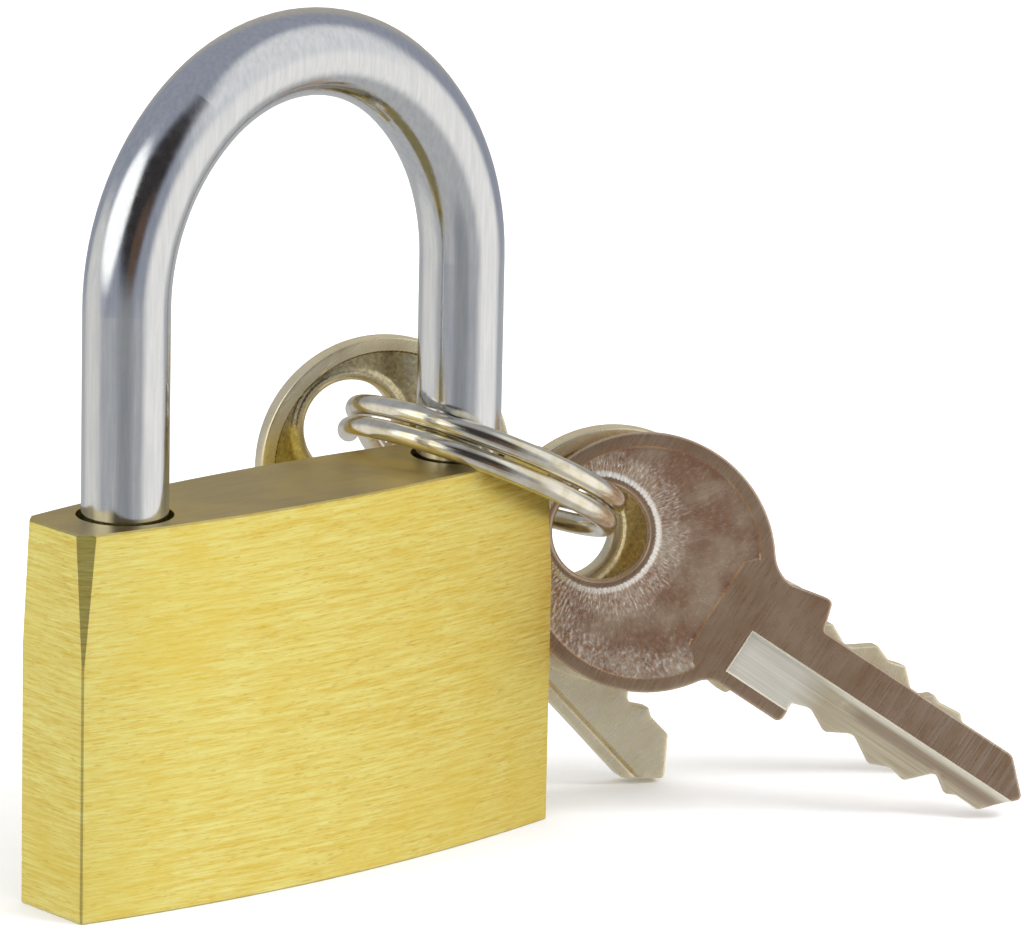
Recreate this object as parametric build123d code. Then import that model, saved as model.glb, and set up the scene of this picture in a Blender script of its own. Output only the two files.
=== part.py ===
"""Solid brass padlock with a chromed shackle, its pin tumbler lock, a split ring and three keys.

Millimetres, +Z up. The origin is the centre of the body's bottom face. X runs across the body's width,
with the shackle's toe (the leg that comes free) at +X, and -Y is the front.
The lock is built with its plug turned to the open position: the latches are drawn back and the shackle
is pushed right down.
"""
import math
import os

from build123d import *

# Body
BODY_WIDTH = 40.0
BODY_HEIGHT = 25.8
END_THICKNESS = 6.4
FACE_BULGE = 1.9  # how far each broad face bows out at mid width
EDGE_BREAK = 0.12
CORNER_CUT = 0.75  # the tapered corner facets, measured along each face at the top
CORNER_CUT_HEIGHT = 10.0

# Shackle
LEG_SPACING = 28.3
LEG_RADIUS = 2.85
LEG_HOLE_RADIUS = 3.2
STRAIGHT_ABOVE_BODY = 13.5
SHOULDER_ARC_RADIUS = 15.8  # the arch is flatter at its shoulders than at its crown
SHOULDER_ARC_ANGLE = 50.0
HEEL_BOTTOM = 6.5
TOE_BOTTOM = 16.9
HEEL_HOLE_BOTTOM = 2.2
TOE_HOLE_BOTTOM = 16.4
HEEL_X = -LEG_SPACING / 2
TOE_X = LEG_SPACING / 2

# Shackle follower, spring and retaining pin
FOLLOWER_RADIUS = 2.7
FOLLOWER_THICKNESS = 1.0
SPIGOT_RADIUS = 1.3
SPIGOT_LENGTH = 1.2
SHACKLE_SPRING_RADIUS = 2.3
SHACKLE_SPRING_WIRE = 0.22
SHACKLE_SPRING_TURNS = 4.5
STOP_PIN_RADIUS = 0.8
STOP_PIN_X = -16.95
STOP_PIN_Z = 19.4
STOP_PIN_FRONT = -2.7
LIMIT_FLAT = 1.85  # distance from the heel's axis to the flat that the stop pin runs along
LIMIT_FLAT_BOTTOM = 8.0
LIMIT_FLAT_TOP = 20.3

# Plug and cam
PLUG_RADIUS = 3.8
PLUG_BORE_RADIUS = 3.85
PLUG_BOTTOM = 0.15
PLUG_TOP = 16.6
PLUG_BORE_TOP = 19.9
KEYWAY_WIDTH = 2.1
KEYWAY_REACH = 3.05
GROOVE_BOTTOM = 14.0
GROOVE_TOP = 15.6
GROOVE_RADIUS = 3.1
PLUG_PIN_RADIUS = 0.7
PLUG_PIN_LENGTH_FRONT = 3.0
CAM_RADIUS = 3.6
CAM_TOP = 18.5
CAM_RECESS = 1.1
CAM_THROW = 1.27  # from the plug's axis to each of the cam's two pins
CAM_PIN_RADIUS = 0.45
CAM_PIN_TOP = 19.8
CAM_LUG = (1.3, 1.2, 0.8)

# Pin stacks
STACK_HEIGHTS = (2.3, 5.6, 8.9, 12.2)
CHAMBER_RADIUS = 1.05
PIN_RADIUS = 1.0
DRIVER_LENGTH = 3.2
DRIVER_START = 3.88
KEY_PIN_OUTER = 3.76
PIN_SPRING_RADIUS = 0.72
PIN_SPRING_WIRE = 0.14
PIN_SPRING_TURNS = 9.0
CHAMBER_PLUG_START = 13.5
PIN_POINT = 0.35  # the cone on each key pin's point

# Latches
LATCH_HEIGHT = 20.8
LATCH_BORE_RADIUS = 2.1
LATCH_RADIUS = 2.05
LATCH_INNER = 2.4
LATCH_SHOULDER = 9.2
LATCH_NOSE = 11.1
LATCH_NOSE_HEIGHT = 2.3
TONGUE_END = 1.75
TONGUE_TOP = 20.6
TONGUE_GAP = 0.12  # half the gap between the two tongues
TONGUE_SLOT_WIDTH = 1.1
TONGUE_SLOT_TOP = 19.95
NOTCH_HEIGHT = 2.6
NOTCH_FLOOR = 13.05
LATCH_SPRING_RADIUS = 0.75
LATCH_SPRING_WIRE = 0.13
LATCH_SPRING_TURNS = 6.0
LATCH_SPRING_Z = 21.75
BORE_PLUG_START = 17.4

# Split ring
RING_RADIUS = 9.32
RING_WIRE = 0.7
RING_COIL_GAP = 0.14
RING_CENTRE = (17.91, 1.9, 23.99)
RING_NORMAL = (0.468, 0.042, 0.883)
RING_CROSSOVER = 38.0  # degrees of turn over which one coil steps across to the other
RING_END_GAP = 4.0
RING_SPUN = 88.0  # turns the crossover and the wire's ends to the ring's far side

# Keys, in their own frame: bow centre at the origin, blade along +X, cuts on the +Y side
BOW_RADIUS = 8.85
BOW_RIM = 0.92
BOW_THICKNESS = 1.8
BOW_RECESS = 0.22
HOLE_OFFSET = 3.75
HOLE_RADIUS = 3.25
HOLE_RIM_RADIUS = 3.75
RECESS_END = 5.65
TAB_TOP = -3.7
TAB_BOTTOM = 3.05
NECK_TOP = -4.22
NECK_BOTTOM = 4.12
NECK_FILLET_TOP = 2.6
NECK_FILLET_BOTTOM = 1.6
STOP_X = 12.75
STOP_END = 13.65  # the stop strip beside the milled part runs on a little past the stop
BLADE_END = 30.4
BLADE_AXIS = 0.12  # the plug's axis, in the key's own Y
BLADE_THICKNESS = 1.7
CUT_ROOTS = (2.25, 2.15, 2.58, 1.21)
MILLED_START = 8.6
MILLED_EDGE = -0.13
MILLED_STRIP = 3.18
MILLED_DEPTH = 0.45
BACK_GROOVE = (-2.1, -1.8)
BACK_GROOVE_DEPTH = 0.3
# corners of the neck, stops, blade and cuts, each with the radius that rounds it
BLADE_CORNERS = (
    (12.1, -4.85, 0.45),
    (12.75, -2.77, 0.25),
    (28.2, -2.77, 0.8),
    (BLADE_END, -0.63, 0.35),
    (28.3, 1.66, 0.45),
    (26.5, 1.62, 0.6),
    (25.85, 1.95, 0.2),
    (24.55, 1.05, 0.55),
    (22.95, 2.75, 0.3),
    (21.65, 2.5, 0.8),
    (20.35, 3.1, 0.3),
    (18.35, 1.95, 0.9),
    (16.6, 2.95, 0.3),
    (14.95, 2.1, 1.0),
    (STOP_END, 2.55, 0.08),
    (STOP_END, NECK_BOTTOM, 0.5),
)
# where each key hangs: bow centre, then heading, dip and roll in degrees
KEY_PLACES = {
    "key_1": ((27.73, -4.01, 17.02), -45.45, 32.12, -13.27),
    "key_2": ((28.56, 0.4, 16.6), -26.69, 29.6, 174.75),
    "key_3": ((15.24, 9.0, 23.1), -28.63, 47.66, 173.05),
}


def along_x(radius, start, end, y=0.0, z=0.0):
    """A cylinder along X between two stations."""
    middle = (start + end) / 2
    return Pos(middle, y, z) * Rot(0, 90, 0) * Cylinder(radius, abs(end - start))


def along_y(radius, start, end, x=0.0, z=0.0):
    """A cylinder along Y between two stations."""
    middle = (start + end) / 2
    return Pos(x, middle, z) * Rot(90, 0, 0) * Cylinder(radius, abs(end - start))


def upright(radius, bottom, top, x=0.0, y=0.0):
    """A cylinder along Z between two heights."""
    return Pos(x, y, (bottom + top) / 2) * Cylinder(radius, top - bottom)


def block(x_range, y_range, z_range):
    """A box between two stations on each axis."""
    sizes = [high - low for low, high in (x_range, y_range, z_range)]
    centre = [(high + low) / 2 for low, high in (x_range, y_range, z_range)]
    return Pos(*centre) * Box(*sizes)


def coil(radius, wire, length, turns):
    """A compression spring standing on the XY plane, with its wire inside 0..length."""
    run = length - 2 * wire
    path = Helix(pitch=run / turns, height=run, radius=radius)
    section = Plane(origin=path @ 0, z_dir=path % 0) * Circle(wire)
    return Pos(0, 0, wire) * sweep(section, path=path, is_frenet=True)


# Body ----------------------------------------------------------------------------------------------
def body_blank():
    """The bowed slab with its tapered corner facets, before any drilling."""
    half = BODY_WIDTH / 2
    side = END_THICKNESS / 2
    front = ThreePointArc((-half, -side), (0, -side - FACE_BULGE), (half, -side))
    right = Line((half, -side), (half, side))
    back = ThreePointArc((half, side), (0, side + FACE_BULGE), (-half, side))
    left = Line((-half, side), (-half, -side))
    outline = make_face(Wire([front, right, back, left]))
    blank = extrude(outline, BODY_HEIGHT)
    blank = chamfer(blank.edges(), EDGE_BREAK)
    for sx in (-1, 1):
        for sy in (-1, 1):
            on_end = Vector(sx * half, sy * (side - CORNER_CUT), BODY_HEIGHT)
            on_face = Vector(sx * (half - CORNER_CUT), sy * side, BODY_HEIGHT)
            foot = Vector(sx * half, sy * side, BODY_HEIGHT - CORNER_CUT_HEIGHT)
            normal = (on_face - on_end).cross(foot - on_end)
            if normal.X * sx < 0:
                normal = normal * -1
            blank = split(blank, Plane(origin=on_end, z_dir=normal), keep=Keep.BOTTOM)
    return blank


def make_body():
    body = body_blank()
    above = BODY_HEIGHT + 1
    cuts = [
        upright(LEG_HOLE_RADIUS, HEEL_HOLE_BOTTOM, above, x=HEEL_X),
        upright(LEG_HOLE_RADIUS, TOE_HOLE_BOTTOM, above, x=TOE_X),
        upright(PLUG_BORE_RADIUS, -1, PLUG_BORE_TOP),
        along_x(LATCH_BORE_RADIUS, HEEL_X, BODY_WIDTH / 2 + 1, z=LATCH_HEIGHT),
        stop_pin(BODY_WIDTH),
        plug_pin(BODY_WIDTH),
    ]
    for z in STACK_HEIGHTS:
        cuts.append(along_x(CHAMBER_RADIUS, 0, BODY_WIDTH / 2 + 1, z=z))
    for cut in cuts:
        body = body - cut
    return body


def stop_pin(back):
    """The cross pin that stops the heel at the end of its lift."""
    return along_y(STOP_PIN_RADIUS, STOP_PIN_FRONT, back, x=STOP_PIN_X, z=STOP_PIN_Z)


def plug_pin(back):
    """The cross pin in the plug's groove, which keeps the plug in the body."""
    x = -(GROOVE_RADIUS + 0.1 + PLUG_PIN_RADIUS)
    z = (GROOVE_BOTTOM + GROOVE_TOP) / 2
    return along_y(PLUG_PIN_RADIUS, -PLUG_PIN_LENGTH_FRONT, back, x=x, z=z)


def trimmed_to_body(pin, blank):
    """A pin cut off flush with the body's outside and with its edges left sharp."""
    return pin & blank


# Shackle -------------------------------------------------------------------------------------------
def shackle_path():
    """The bend's centreline: two straight legs and a three-centred arch."""
    half = LEG_SPACING / 2
    spring_line = BODY_HEIGHT + STRAIGHT_ABOVE_BODY
    angle = math.radians(SHOULDER_ARC_ANGLE)
    inset = SHOULDER_ARC_RADIUS - half
    crown_radius = SHOULDER_ARC_RADIUS - inset / math.cos(angle)
    crown_z = spring_line + inset * math.tan(angle)

    def shoulder(turn):
        reach = SHOULDER_ARC_RADIUS * math.cos(turn) - inset
        return reach, spring_line + SHOULDER_ARC_RADIUS * math.sin(turn)

    knee_x, knee_z = shoulder(angle)
    mid_x, mid_z = shoulder(angle / 2)
    heel = Line((-half, 0, HEEL_BOTTOM), (-half, 0, spring_line))
    rise = ThreePointArc((-half, 0, spring_line), (-mid_x, 0, mid_z), (-knee_x, 0, knee_z))
    crown = ThreePointArc((-knee_x, 0, knee_z), (0, 0, crown_z + crown_radius), (knee_x, 0, knee_z))
    fall = ThreePointArc((knee_x, 0, knee_z), (mid_x, 0, mid_z), (half, 0, spring_line))
    toe = Line((half, 0, spring_line), (half, 0, TOE_BOTTOM))
    return Wire([heel, rise, crown, fall, toe])


def make_shackle():
    section = Plane(origin=(HEEL_X, 0, HEEL_BOTTOM), z_dir=(0, 0, 1)) * Circle(LEG_RADIUS)
    shackle = sweep(section, path=shackle_path())
    ends = shackle.faces().sort_by(Axis.Z)[0].edges() + shackle.edges().filter_by(
        lambda edge: abs(edge.center().Z - TOE_BOTTOM) < 0.01
    )
    shackle = chamfer(ends, 0.4)
    low = LATCH_HEIGHT - NOTCH_HEIGHT / 2
    high = LATCH_HEIGHT + NOTCH_HEIGHT / 2
    across = (-LEG_RADIUS - 1, LEG_RADIUS + 1)
    inner = abs(TOE_X) - LEG_RADIUS - 1
    shackle = shackle - block((inner, NOTCH_FLOOR), across, (low, high))
    shackle = shackle - block((-NOTCH_FLOOR, -inner), across, (low, high))
    flat_edge = HEEL_X - LIMIT_FLAT
    limit = block((flat_edge - 2, flat_edge), across, (LIMIT_FLAT_BOTTOM, LIMIT_FLAT_TOP))
    return shackle - limit


def make_follower():
    """The cap between the heel's end and the spring, with a spigot inside the coil."""
    top = HEEL_BOTTOM - 0.05
    cap = upright(FOLLOWER_RADIUS, top - FOLLOWER_THICKNESS, top, x=HEEL_X)
    spigot_top = top - FOLLOWER_THICKNESS
    return cap + upright(SPIGOT_RADIUS, spigot_top - SPIGOT_LENGTH, spigot_top, x=HEEL_X)


def make_shackle_spring():
    top = HEEL_BOTTOM - 0.05 - FOLLOWER_THICKNESS
    length = top - HEEL_HOLE_BOTTOM - 0.06
    spring = coil(SHACKLE_SPRING_RADIUS, SHACKLE_SPRING_WIRE, length, SHACKLE_SPRING_TURNS)
    return Pos(HEEL_X, 0, HEEL_HOLE_BOTTOM + 0.03) * spring


# Plug, cam and pins ----------------------------------------------------------------------------------
def turned_open(shape):
    """A piece of the plug, drawn in the locked position, turned to the open one."""
    return Rot(0, 0, 90) * shape


def make_plug():
    plug = upright(PLUG_RADIUS, PLUG_BOTTOM, PLUG_TOP)
    plug = chamfer(plug.edges().sort_by(Axis.Z)[0], 0.2)
    reach = (-KEYWAY_REACH, KEYWAY_REACH)
    half = KEYWAY_WIDTH / 2
    plug = plug - block(reach, (-half, half), (-1, PLUG_TOP + 1))
    band = upright(PLUG_RADIUS + 1, GROOVE_BOTTOM, GROOVE_TOP)
    plug = plug - (band - upright(GROOVE_RADIUS, GROOVE_BOTTOM, GROOVE_TOP))
    for z in STACK_HEIGHTS:
        plug = plug - along_x(CHAMBER_RADIUS, 0, PLUG_RADIUS + 1, z=z)
    for side in (-1, 1):
        plug = plug - cam_lug(side, 0.06)
    return turned_open(plug)


def cam_lug(side, play):
    """One of the two lugs under the cam that sit in notches in the plug's top."""
    width, depth, drop = CAM_LUG
    outer = 3.4
    y_range = sorted((side * (outer - depth - play), side * (outer + play)))
    return block((-width / 2 - play, width / 2 + play), y_range, (PLUG_TOP - drop - play, PLUG_TOP + 0.3))


def make_cam():
    cam = upright(CAM_RADIUS, PLUG_TOP + 0.02, CAM_TOP)
    half = KEYWAY_WIDTH / 2
    cam = cam - block((-KEYWAY_REACH, KEYWAY_REACH), (-half, half), (0, PLUG_TOP + CAM_RECESS))
    for side in (-1, 1):
        cam = cam + cam_lug(side, 0)
    cam = turned_open(cam)
    offset = CAM_THROW * math.sin(math.radians(45))
    for side in (-1, 1):
        cam = cam + upright(CAM_PIN_RADIUS, CAM_TOP - 0.2, CAM_PIN_TOP, x=side * offset, y=-side * offset)
    return cam


def make_key_pin(z, root):
    """A key pin resting on its cut's root, level with the shear line at its outer end."""
    start = root - BLADE_AXIS + 0.02
    pin = along_x(PIN_RADIUS, start, KEY_PIN_OUTER, z=z)
    point = pin.edges().sort_by(Axis.X)[0]
    return turned_open(chamfer(point, PIN_POINT, PIN_POINT * 1.6))


def make_driver_pin(z):
    pin = along_x(PIN_RADIUS, DRIVER_START, DRIVER_START + DRIVER_LENGTH, z=z)
    return chamfer(pin.edges().filter_by(GeomType.CIRCLE), 0.12)


def make_pin_spring(z):
    start = DRIVER_START + DRIVER_LENGTH + 0.04
    spring = coil(PIN_SPRING_RADIUS, PIN_SPRING_WIRE, CHAMBER_PLUG_START - 0.04 - start, PIN_SPRING_TURNS)
    return Pos(start, 0, z) * Rot(0, 90, 0) * spring


# Latches -------------------------------------------------------------------------------------------
def make_latch_left():
    """A round bolt with a flat nose for the shackle's notch and a slotted tongue over the cam."""
    z = LATCH_HEIGHT
    bolt = along_x(LATCH_RADIUS, -LATCH_NOSE, TONGUE_END, z=z)
    wide = (-LATCH_RADIUS - 1, LATCH_RADIUS + 1)
    nose_half = LATCH_NOSE_HEIGHT / 2
    for low, high in ((z + nose_half, z + 3), (z - 3, z - nose_half)):
        bolt = bolt - block((-LATCH_NOSE - 1, -LATCH_SHOULDER), wide, (low, high))
    inner = (-LATCH_INNER, TONGUE_END + 1)
    bolt = bolt - block(inner, (-TONGUE_GAP, 3), (z - 3, z + 3))
    bolt = bolt - block(inner, wide, (TONGUE_TOP, z + 3))
    slot_x = CAM_THROW * math.sin(math.radians(45))
    half = TONGUE_SLOT_WIDTH / 2
    return bolt - block((slot_x - half, slot_x + half), wide, (z - 3, TONGUE_SLOT_TOP))


def make_latch_spring():
    start = -LATCH_INNER + 0.03
    spring = coil(LATCH_SPRING_RADIUS, LATCH_SPRING_WIRE, -2 * start, LATCH_SPRING_TURNS)
    return Pos(start, 0, LATCH_SPRING_Z) * Rot(0, 90, 0) * spring


# Split ring ----------------------------------------------------------------------------------------
def make_split_ring():
    """One wire wound twice round: two flat coils and a short stretch that steps between them."""
    height = RING_WIRE + RING_COIL_GAP / 2
    span = math.radians(RING_CROSSOVER)
    sweep_angle = 360 - RING_CROSSOVER - RING_END_GAP
    lower = revolve(Plane.XZ * Pos(RING_RADIUS, -height) * Circle(RING_WIRE), Axis.Z, sweep_angle)
    upper = revolve(Plane.XZ * Pos(RING_RADIUS, height) * Circle(RING_WIRE), Axis.Z, sweep_angle)
    lower = Rot(0, 0, RING_CROSSOVER + RING_END_GAP) * lower
    upper = Rot(0, 0, RING_CROSSOVER) * upper
    pull = 4 / 3 * math.tan(span / 4) * RING_RADIUS
    start = Vector(RING_RADIUS, 0, -height)
    end = Vector(RING_RADIUS * math.cos(span), RING_RADIUS * math.sin(span), height)
    start_way = Vector(0, 1, 0)
    end_way = Vector(-math.sin(span), math.cos(span), 0)
    step_path = Bezier(start, start + start_way * pull, end - end_way * pull, end)
    section = Plane(origin=start, z_dir=start_way) * Circle(RING_WIRE)
    crossover = sweep(section, path=step_path)
    ring = lower + crossover + upper
    return Plane(origin=RING_CENTRE, z_dir=RING_NORMAL) * Rot(0, 0, RING_SPUN) * ring


# Keys ----------------------------------------------------------------------------------------------
def key_outline():
    """The round bow with its neck, stops, blade and cuts, every corner rounded."""
    blade = [(x, y) for x, y, _ in BLADE_CORNERS]
    outline = Circle(BOW_RADIUS) + Polygon((0, NECK_TOP), *blade, (0, NECK_BOTTOM), align=None)
    top_meeting = (math.sqrt(BOW_RADIUS**2 - NECK_TOP**2), NECK_TOP, NECK_FILLET_TOP)
    bottom_meeting = (math.sqrt(BOW_RADIUS**2 - NECK_BOTTOM**2), NECK_BOTTOM, NECK_FILLET_BOTTOM)
    for x, y, radius in (top_meeting, bottom_meeting, *BLADE_CORNERS):
        corner = outline.vertices().sort_by_distance(Vector(x, y))[0]
        outline = fillet(corner, radius)
    return outline


def bow_recess():
    """The sunk field of the bow, between the rim, the hole's raised rim and the neck's bevelled tab."""
    far = BOW_RADIUS
    spread = 0.9 * (far - RECESS_END)
    tab = Polygon(
        (RECESS_END, TAB_TOP),
        (far, TAB_TOP - spread),
        (far, TAB_BOTTOM + spread),
        (RECESS_END, TAB_BOTTOM),
        align=None,
    )
    return Circle(BOW_RADIUS - BOW_RIM) - tab - Pos(-HOLE_OFFSET, 0) * Circle(HOLE_RIM_RADIUS)


def make_key():
    half = BOW_THICKNESS / 2
    key = extrude(key_outline(), half, both=True)
    # the blade is a little thinner than the bow
    trim = (BOW_THICKNESS - BLADE_THICKNESS) / 2
    for side in (-1, 1):
        z_range = sorted((side * (half - trim), side * (half + 1)))
        key = key - block((STOP_X + 0.9, BLADE_END + 1), (-5, 5), z_range)
    key = key - extrude(Pos(-HOLE_OFFSET, 0) * Circle(HOLE_RADIUS), BOW_THICKNESS, both=True)
    for side in (-1, 1):
        floor = side * (half - BOW_RECESS)
        key = key - extrude(Pos(0, 0, floor) * bow_recess(), side * BOW_THICKNESS)
    # the milled side: the half of the blade under the cuts is thinner, from the neck to the tip
    depth = (-half - 1, -half + MILLED_DEPTH)
    key = key - block((MILLED_START, STOP_END), (MILLED_EDGE, MILLED_STRIP), depth)
    key = key - block((STOP_END, BLADE_END + 1), (MILLED_EDGE, NECK_BOTTOM + 1), depth)
    return key - block((STOP_X, BLADE_END + 1), BACK_GROOVE, (half - BACK_GROOVE_DEPTH, half + 1))


def key_plane(name):
    """The plane that a key lies in, from its heading, dip and roll."""
    centre, heading, dip, roll = KEY_PLACES[name]
    heading, dip, roll = (math.radians(angle) for angle in (heading, dip, roll))
    blade = Vector(math.cos(dip) * math.cos(heading), math.cos(dip) * math.sin(heading), -math.sin(dip))
    level = Vector(-math.sin(heading), math.cos(heading), 0)
    down = Vector(-math.sin(dip) * math.cos(heading), -math.sin(dip) * math.sin(heading), -math.cos(dip))
    cuts = down * math.cos(roll) + level * math.sin(roll)
    return Plane(origin=centre, x_dir=blade, z_dir=blade.cross(cuts))


def build():
    """Every node of the padlock, by name."""
    blank = body_blank()
    latch = make_latch_left()
    nodes = {
        "body": make_body(),
        "shackle": make_shackle(),
        "shackle_follower": make_follower(),
        "shackle_spring": make_shackle_spring(),
        "shackle_stop_pin": trimmed_to_body(stop_pin(BODY_WIDTH), blank),
        "plug": make_plug(),
        "plug_retaining_pin": trimmed_to_body(plug_pin(BODY_WIDTH), blank),
        "cam": make_cam(),
        "latch_left": latch,
        "latch_right": Rot(0, 0, 180) * latch,
        "latch_spring": make_latch_spring(),
        "latch_bore_plug": along_x(LATCH_BORE_RADIUS, BORE_PLUG_START, BODY_WIDTH / 2, z=LATCH_HEIGHT),
        "split_ring": make_split_ring(),
    }
    for number, (z, root) in enumerate(zip(STACK_HEIGHTS, CUT_ROOTS), start=1):
        nodes[f"key_pin_{number}"] = make_key_pin(z, root)
        nodes[f"driver_pin_{number}"] = make_driver_pin(z)
        nodes[f"pin_spring_{number}"] = make_pin_spring(z)
        plug_end = BODY_WIDTH / 2
        nodes[f"chamber_plug_{number}"] = along_x(CHAMBER_RADIUS, CHAMBER_PLUG_START, plug_end, z=z)
    key = make_key()
    for name in KEY_PLACES:
        nodes[name] = key_plane(name) * key
    return nodes


os.makedirs("parts", exist_ok=True)
for node_name, shape in build().items():
    export_step(shape, f"parts/{node_name}.step")
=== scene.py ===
"""Looks of the padlock: detailed keys and split ring, finishes for every metal, floor, light and camera.

Metres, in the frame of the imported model. Shapes are worked out in millimetres and scaled by MM.
"""
import math

import bpy
import numpy as np
from mathutils import Matrix, Vector
from mathutils.geometry import delaunay_2d_cdt


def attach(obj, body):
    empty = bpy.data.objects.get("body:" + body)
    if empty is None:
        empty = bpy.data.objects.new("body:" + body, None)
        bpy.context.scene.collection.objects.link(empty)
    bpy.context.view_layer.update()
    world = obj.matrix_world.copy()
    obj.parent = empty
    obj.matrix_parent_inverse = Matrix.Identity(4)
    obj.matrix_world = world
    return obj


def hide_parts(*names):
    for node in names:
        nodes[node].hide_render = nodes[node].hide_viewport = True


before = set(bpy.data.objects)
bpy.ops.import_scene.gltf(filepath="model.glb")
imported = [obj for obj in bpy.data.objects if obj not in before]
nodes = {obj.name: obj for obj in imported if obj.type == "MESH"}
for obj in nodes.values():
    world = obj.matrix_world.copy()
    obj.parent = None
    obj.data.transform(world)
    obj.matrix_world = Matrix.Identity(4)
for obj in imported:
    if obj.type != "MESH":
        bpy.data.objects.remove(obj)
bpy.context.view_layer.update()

MM = 0.001
rng = np.random.default_rng(7)

# Split ring, as in the CAD part
RING_RADIUS = 9.32
RING_WIRE = 0.7
RING_COIL_GAP = 0.14
RING_CENTRE = (17.91, 1.9, 23.99)
RING_NORMAL = (0.468, 0.042, 0.883)
RING_ACROSS = (0.883, 0.0, -0.468)
RING_CROSSOVER = 38.0
RING_END_GAP = 4.0
RING_SPUN = 88.0

# Keys: bow centre at the origin, blade along +X, cuts on the +Y side, and the milled side at -Z
BOW_RADIUS = 8.85
FIELD_RADIUS = 7.95
HALF_THICKNESS = 0.9
FIELD_DEPTH = 0.22
HOLE_CENTRE = (-3.75, 0.0)
HOLE_RADIUS = 3.25
HOLE_RIM_RADIUS = 3.75
RIM_FALL = 0.5
FIELD_FALL = 0.14
TAB_START = 5.65
TAB_TOP = -3.7
TAB_BOTTOM = 3.05
TAB_SPREAD = 0.9
TAB_END = 7.6
TAB_FLARE = 1.76
LIP_RADIUS = 0.3
EDGE_RADIUS = 0.16
NECK_TOP = -4.22
NECK_BOTTOM = 4.12
TOP_FILLET = 2.6
BOTTOM_FILLET = 1.6
MILL_START = 8.6
MILL_EDGE = -0.13
MILL_STRIP = 3.18
MILL_DEPTH = 0.45
STOP_END = 13.65
MILL_RAMP = 0.14
BLADE_START = 12.9
# the groove along the blade's other side, and the step beside it
GROOVE_MIDDLE = -1.95
GROOVE_HALF = 0.15
GROOVE_DEPTH = 0.26
GROOVE_END = 28.6
BLADE_STEP = 0.14
# the shallower round-ended groove along the milled side
WARD_START = 17.0
WARD_MIDDLE = 0.68
WARD_HALF = 0.5
WARD_TAPER = 3.0
WARD_DEPTH = 0.2
# the etched grain of the bow's field, and the plain mesh elsewhere
CRYSTAL_REACH = 16.0
CRYSTAL_ROW = 0.27
CRYSTAL_PITCH = 0.15
CRYSTAL_HEIGHT = 0.035
GRID_STEP = 0.42
# corners of the neck, stops and blade, each with the radius it is rounded to
KEY_CORNERS = (
    (12.1, -4.85, 0.45),
    (12.75, -2.77, 0.25),
    (28.2, -2.77, 0.8),
    (30.4, -0.63, 0.35),
    (28.3, 1.66, 0.45),
    (26.5, 1.62, 0.6),
    (25.85, 1.95, 0.25),
    (24.55, 1.05, 0.55),
    (22.95, 2.75, 0.35),
    (21.65, 2.5, 0.8),
    (20.35, 3.1, 0.3),
    (18.35, 1.95, 0.9),
    (16.6, 2.95, 0.3),
    (14.95, 2.1, 1.0),
    (13.65, 2.55, 0.1),
    (13.65, 4.12, 0.5),
)
KEY_PLACES = {
    "key_1": ((27.73, -4.01, 17.02), -45.45, 32.12, -13.27),
    "key_2": ((28.56, 0.4, 16.6), -26.69, 29.6, 174.75),
    "key_3": ((15.24, 9.0, 23.1), -28.63, 47.66, 173.05),
}
# darker and lighter colour of each kind of key
KEY_TONES = {
    "brown": ((0.53, 0.355, 0.23), (0.66, 0.50, 0.355)),
    "pale": ((0.78, 0.67, 0.42), (0.92, 0.82, 0.56)),
}
KEY_TONE = {"key_1": "brown", "key_2": "pale", "key_3": "pale"}


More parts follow.
